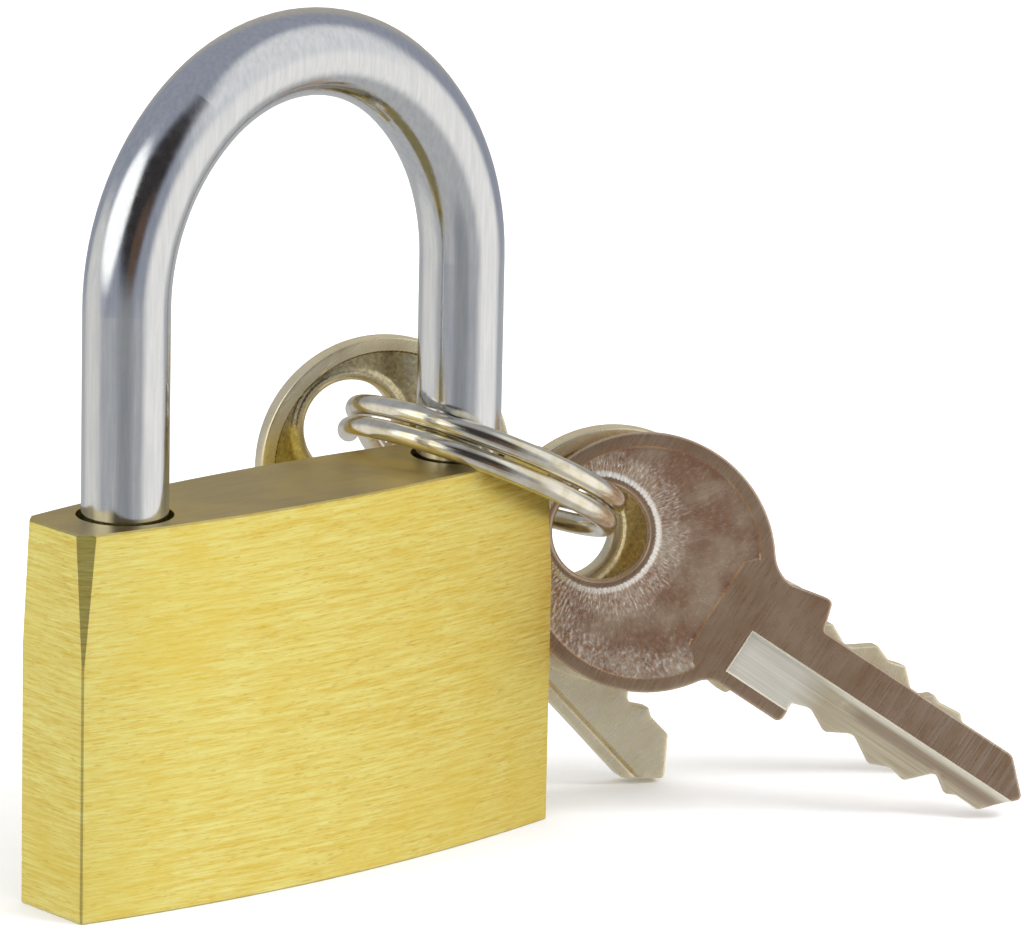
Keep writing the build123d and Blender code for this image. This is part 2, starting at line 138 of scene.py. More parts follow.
# Materials -------------------------------------------------------------------------------------------
class Finish:
    """A node material that is built up node by node."""

    def __init__(self, name):
        self.material = bpy.data.materials.new(name)
        self.material.use_nodes = True
        self.tree = self.material.node_tree
        self.shader = self.tree.nodes["Principled BSDF"]

    def node(self, kind, inputs=(), **settings):
        """A node with its settings, and inputs given as (socket, value or output)."""
        made = self.tree.nodes.new(kind)
        for key, value in settings.items():
            setattr(made, key, value)
        for socket, value in dict(inputs).items():
            if isinstance(value, bpy.types.NodeSocket):
                self.tree.links.new(value, made.inputs[socket])
            else:
                made.inputs[socket].default_value = value
        return made

    def math(self, operation, *values, clamp=False):
        return self.node("ShaderNodeMath", enumerate(values), operation=operation, use_clamp=clamp).outputs[0]

    def vector(self, operation, *values):
        made = self.node("ShaderNodeVectorMath", enumerate(values), operation=operation)
        return made.outputs["Value"] if operation in ("DOT_PRODUCT", "LENGTH") else made.outputs["Vector"]

    def place(self, uv=False):
        """The point on the piece in millimetres."""
        source = self.node("ShaderNodeTexCoord").outputs["UV" if uv else "Object"]
        return self.vector("MULTIPLY", source, (1 / MM,) * 3)

    def stretched(self, point, scale, turn=(0, 0, 0)):
        return self.node("ShaderNodeMapping", {"Vector": point, "Rotation": turn, "Scale": scale}).outputs[0]

    def noise(self, point, scale, detail=4.0, roughness=0.6, distortion=0.0):
        inputs = {"Vector": point, "Scale": scale, "Detail": detail, "Roughness": roughness}
        inputs["Distortion"] = distortion
        return self.node("ShaderNodeTexNoise", inputs).outputs["Fac"]

    def spread(self, value, low, high, to_low=0.0, to_high=1.0):
        inputs = {"Value": value, "From Min": low, "From Max": high, "To Min": to_low, "To Max": to_high}
        return self.node("ShaderNodeMapRange", inputs).outputs[0]

    def mix(self, factor, first, second, blend="MIX"):
        made = self.node("ShaderNodeMix", data_type="RGBA", blend_type=blend)
        for socket, value in ((0, factor), (6, first), (7, second)):
            if isinstance(value, bpy.types.NodeSocket):
                self.tree.links.new(value, made.inputs[socket])
            else:
                made.inputs[socket].default_value = value if socket == 0 else (*value, 1)
        return made.outputs[2]

    def bump(self, height, depth_mm, strength=1.0, normal=None):
        inputs = {"Height": height, "Distance": depth_mm * MM, "Strength": strength}
        if normal:
            inputs["Normal"] = normal
        return self.node("ShaderNodeBump", inputs).outputs[0]

    def finish(self, **inputs):
        """Links or sets the shader's sockets."""
        names = {"color": "Base Color", "metallic": "Metallic", "roughness": "Roughness", "normal": "Normal"}
        names["specular"] = "Specular IOR Level"
        for key, value in inputs.items():
            socket = self.shader.inputs[names[key]]
            if isinstance(value, bpy.types.NodeSocket):
                self.tree.links.new(value, socket)
            else:
                socket.default_value = (*value, 1) if key == "color" else value
        return self.material


def edge_mask(finish, radius_mm):
    """1 on the piece's edges and 0 on its flats."""
    rounded = finish.node("ShaderNodeBevel", {"Radius": radius_mm * MM}, samples=6).outputs[0]
    true = finish.node("ShaderNodeNewGeometry").outputs["Normal"]
    return finish.spread(finish.vector("DOT_PRODUCT", rounded, true), 0.995, 0.9)


def brushed_brass():
    """The body: brass brushed along its length, matt and browner on top with painted shade in the top's
    darker colour, painted shade darkening the sides towards the right end, and lighter edges that are partly
    wear and partly painted highlight.
    """
    f = Finish("brushed_brass")
    point = f.place()
    facing = f.node("ShaderNodeTexCoord").outputs["Normal"]
    up = f.spread(f.vector("DOT_PRODUCT", facing, (0, 0, 1)), 0.6, 0.9)
    lift = (0, math.radians(-2.2), 0)
    long_side = f.noise(f.stretched(point, (0.30, 0.30, 5.5), lift), 1.0, 6.0, 0.68, 0.25)
    fine_side = f.noise(f.stretched(point, (0.8, 0.8, 15.0), lift), 1.0, 3.0, 0.6)
    nick_side = f.noise(f.stretched(point, (1.1, 1.1, 9.0), lift), 1.0, 2.0, 0.5)
    long_top = f.noise(f.stretched(point, (0.16, 6.0, 0.5)), 1.0, 6.0, 0.65)
    fine_top = f.noise(f.stretched(point, (0.4, 20.0, 0.5)), 1.0, 3.0, 0.6)
    broad = f.noise(point, 0.14, 3.0, 0.5, 0.4)
    grain = f.node("ShaderNodeMix", {0: up, 2: long_side, 3: long_top}).outputs[0]
    fine = f.node("ShaderNodeMix", {0: up, 2: fine_side, 3: fine_top}).outputs[0]
    side = f.mix(f.spread(grain, 0.36, 0.64), (0.78, 0.59, 0.105), (0.96, 0.90, 0.31))
    side = f.mix(f.spread(fine, 0.52, 0.72, 0.0, 0.5), side, (0.99, 0.96, 0.50))
    side = f.mix(f.spread(nick_side, 0.60, 0.70, 0.0, 0.5), side, (0.62, 0.40, 0.06))
    side = f.mix(f.spread(broad, 0.48, 0.7, 0.0, 0.4), side, (0.86, 0.68, 0.12))
    along = f.node("ShaderNodeSeparateXYZ", {0: point}).outputs[0]
    # Painted shade: the sides darken and dull towards the body's right end.
    side = f.mix(f.spread(along, -14.0, 20.0), side, (0.80, 0.75, 0.66), "MULTIPLY")
    # The top face gets a darker, browner colour than the sides: partly a duller finish, partly painted shade.
    top = f.mix(f.spread(grain, 0.3, 0.7), (0.46, 0.36, 0.15), (0.66, 0.55, 0.27))
    top = f.mix(f.spread(broad, 0.48, 0.64, 0.0, 0.45), top, (0.78, 0.62, 0.22))
    polished = f.math("MULTIPLY", f.spread(broad, 0.40, 0.56), f.spread(along, 2.0, 10.0, 0.0, 0.8))
    top = f.mix(polished, top, (0.86, 0.66, 0.20))
    color = f.mix(up, side, top)
    # Lighter gold on the edges: partly wear, partly a painted highlight along the edges.
    edge = edge_mask(f, 0.16)
    patchy = f.spread(f.noise(point, 1.6, 4.0), 0.42, 0.6)
    color = f.mix(f.math("MULTIPLY", f.math("MULTIPLY", edge, patchy), 0.7), color, (0.98, 0.92, 0.55))
    amber = f.math("MULTIPLY", edge_mask(f, 0.7), f.spread(f.noise(point, 0.7, 3.0), 0.4, 0.65))
    color = f.mix(f.math("MULTIPLY", amber, 0.45), color, (0.66, 0.40, 0.03))
    roughness = f.spread(grain, 0.3, 0.7, 0.27, 0.40)
    roughness = f.math("ADD", roughness, f.math("MULTIPLY", up, 0.06))
    height = f.math("ADD", f.math("MULTIPLY", grain, 0.6), f.math("MULTIPLY", fine, 0.5))
    return f.finish(color=color, metallic=1.0, roughness=roughness, normal=f.bump(height, 0.02, 0.55))


def machined(name, dark, light, low, high, scale=(1, 1, 1), depth=0.006):
    """A turned or drawn metal with fine stretched grain and a little colour variation."""
    f = Finish(name)
    point = f.place()
    grain = f.noise(f.stretched(point, scale), 3.0, 5.0, 0.6)
    blotch = f.noise(point, 0.35, 4.0, 0.55)
    color = f.mix(f.spread(grain, 0.35, 0.7), dark, light)
    color = f.mix(f.spread(blotch, 0.5, 0.75, 0.0, 0.35), color, dark)
    return f.finish(color=color, metallic=1.0, roughness=f.spread(grain, 0.3, 0.7, low, high),
                    normal=f.bump(grain, depth, 0.5))


def chrome():
    """The shackle: satin chrome plate, with faint lengthwise polish lines and small pits."""
    f = Finish("shackle_chrome_plate")
    point = f.place()
    polish = f.noise(f.stretched(point, (3.2, 3.2, 0.22)), 1.0, 5.0, 0.6)
    mottle = f.noise(point, 1.4, 5.0, 0.6)
    pits = f.spread(f.noise(point, 6.0, 2.0), 0.70, 0.78)
    color = f.mix(f.spread(polish, 0.35, 0.7), (0.64, 0.66, 0.69), (0.76, 0.77, 0.78))
    color = f.mix(f.math("MULTIPLY", pits, 0.35), color, (0.34, 0.33, 0.33))
    rough = f.math("ADD", f.spread(mottle, 0.35, 0.7, 0.11, 0.19), f.math("MULTIPLY", pits, 0.15))
    height = f.math("ADD", f.math("MULTIPLY", mottle, 0.6), f.math("MULTIPLY", polish, 0.4))
    return f.finish(color=color, metallic=1.0, roughness=rough, normal=f.bump(height, 0.012, 0.35))


def ring_nickel():
    """The split ring: bright nickel over steel wire, with drawing lines and a warmer tone in places."""
    f = Finish("ring_nickel_plate")
    point = f.place()
    along = f.place(uv=True)
    lines = f.noise(f.stretched(along, (0.15, 9.0, 1.0)), 1.0, 4.0, 0.6)
    blotch = f.noise(point, 0.9, 4.0, 0.55)
    color = f.mix(f.spread(blotch, 0.4, 0.65), (0.88, 0.84, 0.72), (0.76, 0.68, 0.50))
    color = f.mix(f.spread(lines, 0.5, 0.75, 0.0, 0.4), color, (0.96, 0.94, 0.86))
    return f.finish(color=color, metallic=1.0, roughness=f.spread(lines, 0.3, 0.7, 0.10, 0.19),
                    normal=f.bump(lines, 0.01, 0.4))


def key_plain(tone):
    """Rims, neck and blade of the keys: dull nickel with hairlines across the blade and a few scratches."""
    f = Finish(f"key_{tone}_plate")
    point = f.place(uv=True)
    hair = f.noise(f.stretched(point, (11.0, 0.35, 1.0)), 1.0, 5.0, 0.65)
    mill = f.noise(f.stretched(point, (5.5, 0.12, 1.0)), 1.0, 2.0, 0.5)
    scratch = f.noise(f.stretched(point, (0.16, 7.0, 1.0), (0, 0, 0.03)), 1.0, 3.0, 0.6)
    blotch = f.noise(point, 0.28, 4.0, 0.6)
    toward_tip = f.spread(f.node("ShaderNodeSeparateXYZ", {0: point}).outputs[0], 14.0, 24.0)
    color = f.mix(f.spread(blotch, 0.38, 0.66), *KEY_TONES[tone])
    color = f.mix(f.spread(hair, 0.45, 0.7, 0.0, 0.4), color, (0.76, 0.68, 0.58))
    lines = f.math("MULTIPLY", f.spread(mill, 0.5, 0.62), f.math("MULTIPLY", toward_tip, 0.35))
    color = f.mix(lines, color, (0.82, 0.76, 0.68))
    color = f.mix(f.spread(scratch, 0.66, 0.74, 0.0, 0.5), color, (0.90, 0.86, 0.78))
    height = f.math("ADD", f.math("MULTIPLY", hair, 0.7), f.math("MULTIPLY", lines, 0.6))
    return f.finish(color=color, metallic=0.86, roughness=f.spread(hair, 0.3, 0.7, 0.24, 0.36),
                    normal=f.bump(height, 0.012, 0.5))


def key_field(tone):
    """The bow's sunk field: etched crystals that point at the hole, brightest round it and at the far arc."""
    f = Finish(f"key_{tone}_etched_field")
    point = f.place(uv=True)
    spot = f.vector("SUBTRACT", point, (*HOLE_CENTRE, 0))
    parts = f.node("ShaderNodeSeparateXYZ", {0: spot})
    angle = f.math("ARCTAN2", parts.outputs[1], parts.outputs[0])
    reach = f.vector("LENGTH", spot)
    polar = f.node("ShaderNodeCombineXYZ", {0: f.math("MULTIPLY", angle, 24.0), 1: reach}).outputs[0]
    grains = f.node("ShaderNodeTexVoronoi", {"Vector": f.stretched(polar, (1.0, 1.9, 1.0)), "Scale": 1.0})
    fine = f.noise(f.stretched(polar, (1.6, 2.6, 1.0)), 1.0, 5.0, 0.7)
    uneven = f.math("MULTIPLY", f.math("SUBTRACT", f.noise(point, 0.55, 3.0, 0.5), 0.5), 3.5)
    near_hole = f.spread(f.math("ADD", reach, uneven), HOLE_RIM_RADIUS + 2.7, HOLE_RIM_RADIUS + 1.5)
    far = f.math("ADD", f.vector("LENGTH", point), uneven)
    low = f.spread(f.node("ShaderNodeSeparateXYZ", {0: point}).outputs[1], -3.0, 2.5)
    outer = f.math("MULTIPLY", f.spread(far, FIELD_RADIUS - 2.8, FIELD_RADIUS - 1.4), low)
    silver = f.math("MAXIMUM", f.math("MAXIMUM", near_hole, outer), 0.3)
    sparkle = f.spread(fine, 0.44, 0.66)
    band = f.noise(point, 0.32, 3.0, 0.5)
    dark, light = KEY_TONES[tone]
    base = f.mix(f.spread(band, 0.42, 0.62), (0.86 * dark[0], 0.74 * dark[1], 0.72 * dark[2]), light)
    color = f.mix(f.math("MULTIPLY", f.math("MULTIPLY", sparkle, silver), 0.95), base, (0.88, 0.83, 0.74))
    # A silver ring on the slope round the hole: a painted highlight, so the rim's bright crescent reads
    # white.
    painted_rim_highlight = f.spread(reach, HOLE_RIM_RADIUS + RIM_FALL, HOLE_RIM_RADIUS + 0.6 * RIM_FALL, 0.0, 0.85)
    color = f.mix(painted_rim_highlight, color, (0.95, 0.93, 0.88))
    height = f.math("ADD", grains.outputs["Distance"], f.math("MULTIPLY", fine, 0.9))
    height = f.math("MULTIPLY", height, f.math("ADD", silver, 0.05))
    return f.finish(color=color, metallic=0.8, roughness=f.spread(fine, 0.3, 0.7, 0.36, 0.24),
                    normal=f.bump(height, 0.08, 0.75))


def key_back_field(tone):
    """The bow's field on the other side, which is smoother, with a fine grain."""
    f = Finish(f"key_{tone}_smooth_field")
    point = f.place(uv=True)
    grain = f.noise(point, 3.2, 6.0, 0.7)
    patch = f.spread(f.noise(point, 0.25, 3.0, 0.5), 0.45, 0.6)
    color = f.mix(f.spread(grain, 0.35, 0.65), (0.42, 0.35, 0.20), (0.80, 0.70, 0.44))
    height = f.math("MULTIPLY", grain, f.math("ADD", f.math("MULTIPLY", patch, 0.9), 0.1))
    return f.finish(color=color, metallic=0.95, roughness=f.spread(patch, 0, 1, 0.16, 0.3),
                    normal=f.bump(height, 0.05, 0.6))


def key_milled():
    """The milled half of the blade: bright, with lines along the cutter's path, a painted highlight along the
    milled step and painted shade in the groove.
    """
    f = Finish("key_milled_metal")
    point = f.place(uv=True)
    lines = f.noise(f.stretched(point, (0.12, 8.0, 1.0)), 1.0, 5.0, 0.6)
    parts = f.node("ShaderNodeSeparateXYZ", {0: point})
    warm = f.spread(parts.outputs[0], 13.0, 15.5)
    silver = f.mix(f.spread(lines, 0.35, 0.7), (0.71, 0.69, 0.61), (0.90, 0.88, 0.79))
    gold = f.mix(f.spread(lines, 0.35, 0.7), (0.48, 0.41, 0.28), (0.70, 0.63, 0.47))
    color = f.mix(warm, silver, gold)
    # Painted highlight: a bright band along the milled step, on the gold part of the blade.
    lit = f.math("MULTIPLY", f.spread(parts.outputs[1], 0.35, 0.1), warm)
    color = f.mix(f.math("MULTIPLY", lit, 0.8), color, (0.98, 0.96, 0.86))
    # Painted shade: darker colour inside the round-ended groove along the milled side.
    groove = f.math("MULTIPLY", f.spread(parts.outputs[1], 0.35, 0.5), f.spread(parts.outputs[1], 1.25, 1.05))
    groove = f.math("MULTIPLY", groove, f.spread(parts.outputs[0], 17.2, 18.2))
    color = f.mix(f.math("MULTIPLY", groove, 0.7), color, (0.40, 0.30, 0.23))
    return f.finish(color=color, metallic=0.55, roughness=f.spread(lines, 0.3, 0.7, 0.28, 0.42),
                    normal=f.bump(lines, 0.012, 0.5))


# Keys ------------------------------------------------------------------------------------------------
def arc(centre, radius, start, end, step=6.0):
    """Points on an arc, angles in degrees."""
    count = max(2, int(abs(end - start) / step) + 1)
    turns = np.radians(np.linspace(start, end, count))
    return [(centre[0] + radius * math.cos(t), centre[1] + radius * math.sin(t)) for t in turns]


def rounded(corners):
    """An open polyline through corners (x, y, radius), with every corner but the ends rounded."""
    points = [np.array(corners[0][:2])]
    for before, here, after in zip(corners, corners[1:], corners[2:]):
        p, radius = np.array(here[:2]), here[2]
        back = np.array(before[:2]) - p
        ahead = np.array(after[:2]) - p
        room = min(np.linalg.norm(back), np.linalg.norm(ahead)) * 0.48
        back, ahead = back / np.linalg.norm(back), ahead / np.linalg.norm(ahead)
        half = math.acos(np.clip(back @ ahead, -1, 1)) / 2
        cut = min(radius / math.tan(half), room)
        radius = cut * math.tan(half)
        centre = p + (back + ahead) / np.linalg.norm(back + ahead) * (radius / math.sin(half))
        first, last = p + back * cut - centre, p + ahead * cut - centre
        start = math.atan2(first[1], first[0])
        turn = (math.atan2(last[1], last[0]) - start + math.pi) % (2 * math.pi) - math.pi
        steps = max(2, int(abs(turn) / 0.16) + 1)
        for t in np.linspace(start, start + turn, steps + 1):
            points.append(centre + radius * np.array((math.cos(t), math.sin(t))))
    points.append(np.array(corners[-1][:2]))
    return points


def fillet_centre(level, radius):
    """The centre of a fillet between the round bow and a straight edge at a level."""
    beyond = level + math.copysign(radius, level)
    return math.sqrt((BOW_RADIUS + radius) ** 2 - beyond ** 2), beyond


def key_outline():
    """The key's outline, counterclockwise in its own frame."""
    top_centre = fillet_centre(NECK_TOP, TOP_FILLET)
    low_centre = fillet_centre(NECK_BOTTOM, BOTTOM_FILLET)
    top_turn = math.degrees(math.atan2(top_centre[1], top_centre[0]))
    low_turn = math.degrees(math.atan2(low_centre[1], low_centre[0]))
    bow = arc((0, 0), BOW_RADIUS, low_turn, 360 + top_turn, 2.5)
    top = arc(top_centre, TOP_FILLET, 180 + top_turn, 90)
    low = arc(low_centre, BOTTOM_FILLET, -90, low_turn - 180)
    corners = [(*top[-1], 0.0), *KEY_CORNERS, (*low[0], 0.0)]
    return thinned(bow[:-1] + top + rounded(corners) + low)


def thinned(points, least=0.02):
    """The closed outline without points that lie on each other."""
    kept = [np.array(points[0])]
    for point in points[1:]:
        if np.linalg.norm(np.array(point) - kept[-1]) > least:
            kept.append(np.array(point))
    if np.linalg.norm(kept[-1] - kept[0]) <= least:
        kept.pop()
    return np.array(kept)


def divided(points, closed, step):
    """The same line with no stretch longer than step."""
    made = []
    ends = np.roll(points, -1, 0) if closed else points[1:]
    for a, b in zip(points, ends):
        count = max(1, math.ceil(np.linalg.norm(b - a) / step))
        made += [a + (b - a) * k / count for k in range(count)]
    return np.array(made if closed else made + [points[-1]])


def inset(outline, distance):
    """The closed outline moved inwards."""
    ahead = np.roll(outline, -1, 0) - np.roll(outline, 1, 0)
    ahead /= np.linalg.norm(ahead, axis=1)[:, None]
    return outline + distance * np.stack([-ahead[:, 1], ahead[:, 0]], 1)


def distance_to(points, line):
    """The distance from each point to a closed line."""
    a, b = line, np.roll(line, -1, 0)
    best = np.full(len(points), 1e9)
    for start, end in zip(a, b):
        way = end - start
        share = np.clip((points - start) @ way / (way @ way), 0, 1)
        best = np.minimum(best, np.linalg.norm(points - start - share[:, None] * way, axis=1))
    return best


def inside(points, line):
    """Which points lie inside a closed line."""
    found = np.zeros(len(points), bool)
    x, y = points[:, 0], points[:, 1]
    for (x0, y0), (x1, y1) in zip(line, np.roll(line, -1, 0)):
        crosses = (y0 > y) != (y1 > y)
        if y1 != y0:
            found ^= crosses & (x < (x1 - x0) * (y - y0) / (y1 - y0) + x0)
    return found


def smooth(value):
    value = np.clip(value, 0, 1)
    return value * value * (3 - 2 * value)


def from_hole(p):
    """Each point's distance from the middle of the hole."""
    return np.hypot(p[:, 0] - HOLE_CENTRE[0], p[:, 1] - HOLE_CENTRE[1])


def field_reach(p):
    """How far inside the bow's sunk field a point lies, in mm; negative outside it."""
    x, y = p[:, 0], p[:, 1]
    inside_circle = FIELD_RADIUS - np.hypot(x, y)
    past = x - TAB_START
    tab = np.minimum.reduce([past, y - TAB_TOP + past * TAB_SPREAD, TAB_BOTTOM + past * TAB_SPREAD - y])
    return np.minimum.reduce([inside_circle, from_hole(p) - HOLE_RIM_RADIUS, -tab])


def field_share(p):
    """How far down the slope into the sunk field a point lies: 0 at its top, 1 and more at its foot."""
    return np.minimum(field_reach(p) / FIELD_FALL, (from_hole(p) - HOLE_RIM_RADIUS) / RIM_FALL)


def graininess(p):
    """How coarse the etched grain is: 1 round the hole and along the arc on the cuts' side."""
    near = np.clip((HOLE_RIM_RADIUS + 2.7 - from_hole(p)) / 1.2, 0, 1)
    outer = np.clip((np.hypot(p[:, 0], p[:, 1]) - FIELD_RADIUS + 2.8) / 1.4, 0, 1)
    return np.maximum.reduce([near, outer * np.clip((p[:, 1] + 3.0) / 5.5, 0, 1), np.full(len(p), 0.4)])


def mill_reach(p):
    """How far inside the milled part of the key a point lies."""
    x, y = p[:, 0], p[:, 1]
    return np.minimum.reduce([x - MILL_START, y - MILL_EDGE, np.maximum(x - STOP_END, MILL_STRIP - y)])


def ward_reach(p):
    """How far inside the round-ended groove along the milled part a point lies."""
    x, y = p[:, 0], p[:, 1]
    return WARD_HALF - np.hypot(np.minimum(x - WARD_START, 0) / WARD_TAPER, y - WARD_MIDDLE)


def key_heights(p, outline, milled):
    """Each point's distance from the key's mid plane on one side."""
    height = np.full(len(p), HALF_THICKNESS)
    height -= FIELD_DEPTH * smooth(field_share(p))
    if milled:
        height -= MILL_DEPTH * smooth(mill_reach(p) / MILL_RAMP)
        height -= WARD_DEPTH * smooth(ward_reach(p) / 0.25)
    else:
        on_blade = smooth((p[:, 0] - BLADE_START) / 0.3)
        height -= BLADE_STEP * on_blade * smooth((GROOVE_MIDDLE - p[:, 1]) / GROOVE_HALF)
        from_groove = np.abs(p[:, 1] - GROOVE_MIDDLE)
        height -= GROOVE_DEPTH * on_blade * np.clip(1 - from_groove / GROOVE_HALF, 0, 1)
    edge = np.clip(EDGE_RADIUS - distance_to(p, outline), 0, EDGE_RADIUS)
    height -= EDGE_RADIUS - np.sqrt(EDGE_RADIUS ** 2 - edge ** 2)
    lip = np.clip(LIP_RADIUS - (from_hole(p) - HOLE_RADIUS), 0, LIP_RADIUS)
    return height - (LIP_RADIUS - np.sqrt(LIP_RADIUS ** 2 - lip ** 2))


def key_mesh():
    """One key in its own frame, in metres: two sheets over one triangulation, joined round the edges."""
    outline = divided(key_outline(), True, 0.35)
    hole = np.array(arc(HOLE_CENTRE, HOLE_RADIUS, 0, 360, 5)[:-1])
    lines = [(outline, True), (hole, True)]
    for distance in (0.03, 0.09, EDGE_RADIUS):
        lines.append((inset(outline, distance), True))
    for extra in (0.05, 0.15, 0.3, 0.5, 0.6, 0.7, 0.8, 0.9, 1.0):
        lines.append((np.array(arc(HOLE_CENTRE, HOLE_RADIUS + extra, 0, 360, 4)[:-1]), True))
    for reach in (0.0, FIELD_FALL):
        a, b = TAB_START - reach, FIELD_RADIUS - reach
        flare = (TAB_END, TAB_TOP - TAB_FLARE), (TAB_END, TAB_BOTTOM + TAB_FLARE)
        tab = [flare[0], (a, TAB_TOP), (a, TAB_BOTTOM), flare[1]]
        tab = divided(np.array(tab), False, 0.3)
        tab = tab[np.hypot(*tab.T) < b]
        lines.append((tab, False))
        ends = [math.degrees(math.atan2(*reversed(tab[k]))) for k in (0, -1)]
        lines.append((np.array(arc((0, 0), b, ends[1], 360 + ends[0], 2.5)), False))
        x, y = MILL_START + reach, MILL_EDGE + reach
        edge = [(30.0, y), (x, y), (x, MILL_STRIP - reach), (STOP_END + reach, MILL_STRIP - reach)]
        lines.append((divided(np.array(edge), False, 0.4), False))
    for y in (GROOVE_MIDDLE - GROOVE_HALF, GROOVE_MIDDLE, GROOVE_MIDDLE + GROOVE_HALF):
        lines.append((divided(np.array([(BLADE_START + 0.05, y), (GROOVE_END, y)]), False, 0.4), False))
    points = []
    edges = []
    for line, closed in lines:
        start = len(points)
        points += [tuple(p) for p in line]
        edges += [(start + k, start + k + 1) for k in range(len(line) - 1)]
        if closed:
            edges.append((start + len(line) - 1, start))
    radii = np.arange(HOLE_RIM_RADIUS + RIM_FALL + 0.15, CRYSTAL_REACH, CRYSTAL_ROW)
    crystals = []
    for radius in radii:
        turns = np.arange(0, 2 * math.pi, CRYSTAL_PITCH / radius)
        turns = turns + rng.uniform(-0.4, 0.4, len(turns)) * CRYSTAL_PITCH / radius
        out = radius + rng.uniform(-0.11, 0.11, len(turns))
        crystals.append(np.stack([HOLE_CENTRE[0] + out * np.cos(turns), out * np.sin(turns)], 1))
    crystals = np.concatenate(crystals)
    crystals = crystals[field_reach(crystals) > 0.2]
    gx, gy = np.meshgrid(np.arange(-9, 31, GRID_STEP), np.arange(-9, 9, GRID_STEP))
    grid = np.stack([gx.ravel(), gy.ravel()], 1)
    grid = grid[inside(grid, outline) & (distance_to(grid, outline) > 0.25) & (field_reach(grid) < -0.1)]
    grid = grid[from_hole(grid) > HOLE_RIM_RADIUS]
    points += [tuple(p) for p in np.concatenate([crystals, grid])]
    made = delaunay_2d_cdt([Vector(p) for p in points], edges, [], 0, 1e-5)
    flat = np.array([tuple(v) for v in made[0]])
    faces = np.array([f for f in made[2] if len(f) == 3])
    middles = flat[faces].mean(1)
    keep = inside(middles, outline) & (from_hole(middles) > HOLE_RADIUS * 0.998)
    faces, middles = faces[keep], middles[keep]
    a, b, c = (flat[faces[:, k]] for k in range(3))
    area = (b - a)[:, 0] * (c - a)[:, 1] - (b - a)[:, 1] * (c - a)[:, 0]
    faces[area < 0] = faces[area < 0][:, ::-1]
    in_field = field_share(flat) > 1.1
    jitter = rng.uniform(-1, 1, len(flat)) * CRYSTAL_HEIGHT * in_field * graininess(flat)
    milled_side = key_heights(flat, outline, True) + jitter
    plain_side = key_heights(flat, outline, False) + jitter * 0.15
    count = len(flat)
    vertices = np.concatenate([
        np.column_stack([flat, -milled_side]),
        np.column_stack([flat, plain_side]),
    ])
    used = {}
    for face in faces:
        for k in range(3):
            u, v = int(face[k]), int(face[(k + 1) % 3])
            used[(u, v)] = True
    rim = [(u, v) for u, v in used if (v, u) not in used]
    polygons = [tuple(int(k) for k in f[::-1]) for f in faces]
    polygons += [tuple(int(k) + count for k in f) for f in faces]
    polygons += [(u, v, v + count, u + count) for u, v in rim]
    mesh = bpy.data.meshes.new("key_shape")
    mesh.from_pydata((vertices * MM).tolist(), [], polygons)
    kinds = np.zeros(len(polygons), int)
    field = field_reach(middles) > 0.05
    mill = mill_reach(middles) > 0.02
    kinds[: len(faces)][field] = 1
    kinds[: len(faces)][mill] = 2
    kinds[len(faces): 2 * len(faces)][field] = 3
    mesh.polygons.foreach_set("material_index", kinds.astype(np.int32))
    sloping = np.zeros(len(polygons), bool)
    sloping[: len(faces)] = field_share(middles) < 1
    mesh.polygons.foreach_set("use_smooth", (kinds != 1) | sloping)
    layer = mesh.uv_layers.new(name="key_plane")
    corner = np.zeros(len(mesh.loops), int)
    mesh.loops.foreach_get("vertex_index", corner)
    layer.data.foreach_set("uv", (vertices[corner][:, :2] * MM).astype(np.float32).ravel())
    mesh.set_sharp_from_angle(angle=math.radians(40))
    mesh.validate()
    return mesh


def key_matrix(centre, heading, dip, roll):
    """Where a key lies, from its heading, dip and roll in degrees."""
    heading, dip, roll = (math.radians(angle) for angle in (heading, dip, roll))
    blade = Vector((math.cos(dip) * math.cos(heading), math.cos(dip) * math.sin(heading), -math.sin(dip)))
    level = Vector((-math.sin(heading), math.cos(heading), 0))
    down = Vector((-math.sin(dip) * math.cos(heading), -math.sin(dip) * math.sin(heading), -math.cos(dip)))
    cuts = down * math.cos(roll) + level * math.sin(roll)
    turn = Matrix((blade, cuts, blade.cross(cuts))).transposed().to_4x4()
    return Matrix.Translation(Vector(centre) * MM) @ turn


def build_keys():
    shape = key_mesh()
    milled = key_milled()
    finishes = {tone: (key_plain(tone), key_field(tone), milled, key_back_field(tone)) for tone in KEY_TONES}
    for name, place in KEY_PLACES.items():
        mesh = shape.copy()
        mesh.name = name + "_mesh"
        for finish in finishes[KEY_TONE[name]]:
            mesh.materials.append(finish)
        key = bpy.data.objects.new(name + "_detailed", mesh)
        bpy.context.scene.collection.objects.link(key)
        key.matrix_world = key_matrix(*place)
        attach(key, name)
        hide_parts(name)


